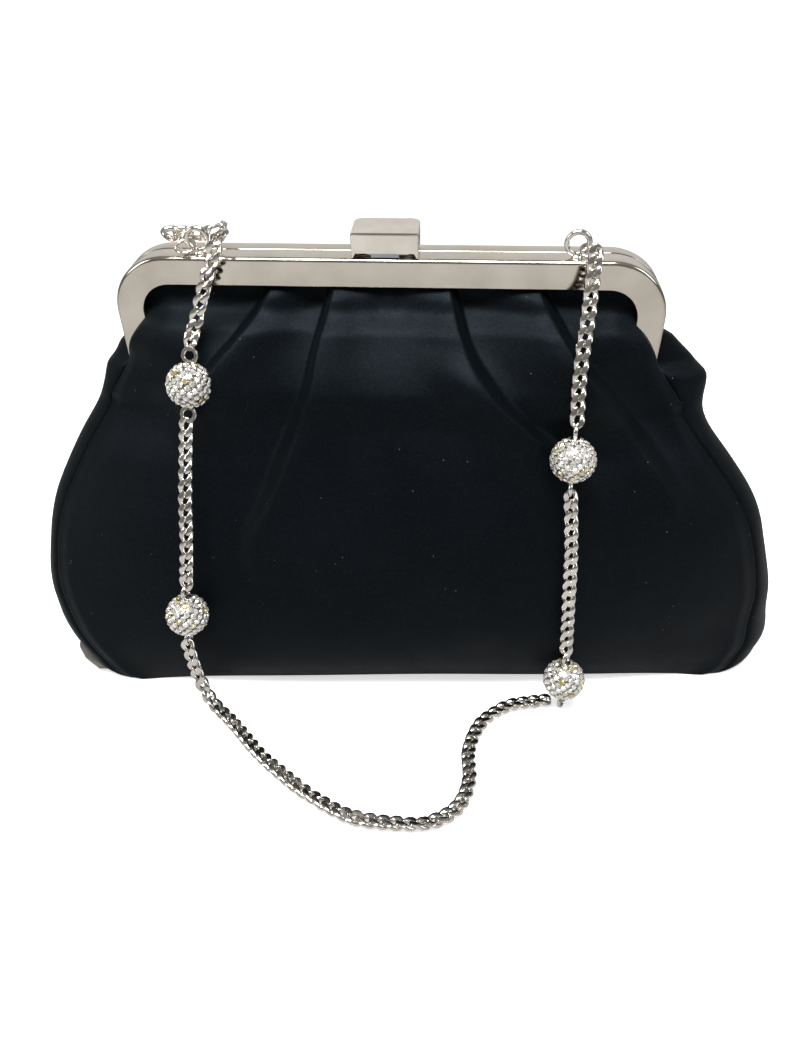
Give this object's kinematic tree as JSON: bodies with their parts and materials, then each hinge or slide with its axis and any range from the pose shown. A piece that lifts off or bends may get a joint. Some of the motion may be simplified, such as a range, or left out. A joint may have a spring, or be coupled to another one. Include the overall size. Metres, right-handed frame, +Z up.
{
  "type": "evening bag",
  "caption": "Black satin pleated pouch bag on a hinged polished metal frame with a flip clasp and a curb-chain strap strung with stone-set balls.",
  "frame": {"origin": "On the floor under the middle of the bag, at the bottom centre of the bag without its strap.", "axes": "X runs along the frame to the bag's left in use and to the right in the front view, the front faces -Y, and Z is up."},
  "size_m": [0.296, 0.1498, 0.1748],
  "materials": {
    "polished_frame": "polished plated metal with light rub marks",
    "chain_metal": "polished plated chain and rings",
    "crystal": "faceted clear stones set in plated metal",
    "satin": "black satin with a soft sheen",
    "lining": "thin black lining cloth",
    "board": "plain stiff board",
    "paper_cord": "twisted paper cord",
    "spring_steel": "plain spring strip"
  },
  "bodies": {
    "bag": {"front_jaw": "polished_frame", "left_hinge_rivet": "polished_frame", "right_hinge_rivet": "polished_frame", "front_tucking_cord": "paper_cord", "catch_tongue": "polished_frame", "left_chain_loop": "chain_metal", "right_chain_loop": "chain_metal", "left_jump_ring": "chain_metal", "right_jump_ring": "chain_metal", "chain_left_upper": "chain_metal", "chain_left_lower": "chain_metal", "chain_front": "chain_metal", "chain_right_lower": "chain_metal", "chain_right_upper": "chain_metal", "left_upper_ball": "crystal", "left_lower_ball": "crystal", "right_upper_ball": "crystal", "right_lower_ball": "crystal", "left_upper_eyes": "chain_metal", "left_lower_eyes": "chain_metal", "right_upper_eyes": "chain_metal", "right_lower_eyes": "chain_metal", "front_panel": "satin", "back_panel_lower": "satin", "back_panel_upper": "satin", "left_gusset": "satin", "right_gusset": "satin", "base_panel": "satin", "base_board": "board", "front_lining": "lining", "back_lining": "lining", "back_lining_upper": "lining", "left_side_lining": "lining", "right_side_lining": "lining"},
    "back_frame": {"back_jaw": "polished_frame", "back_tucking_cord": "paper_cord", "clasp_hinge_bracket": "polished_frame", "clasp_hinge_pin": "polished_frame"},
    "clasp": {"clasp_cover": "polished_frame", "clasp_spring": "spring_steel"}
  },
  "joints": [
    {"name": "jaw_open", "type": "hinge", "parent": "bag", "child": "back_frame", "pos_m": [0, 0, 0.111], "axis": [-1, 0, 0], "range_deg": [0, 60], "deforming": ["back_panel_upper", "back_lining_upper"]},
    {"name": "clasp_flip", "type": "hinge", "parent": "back_frame", "child": "clasp", "pos_m": [0, -0.00768, 0.16877], "axis": [-1, 0, 0], "range_deg": [0, 95], "deforming": ["clasp_spring"]}
  ]
}
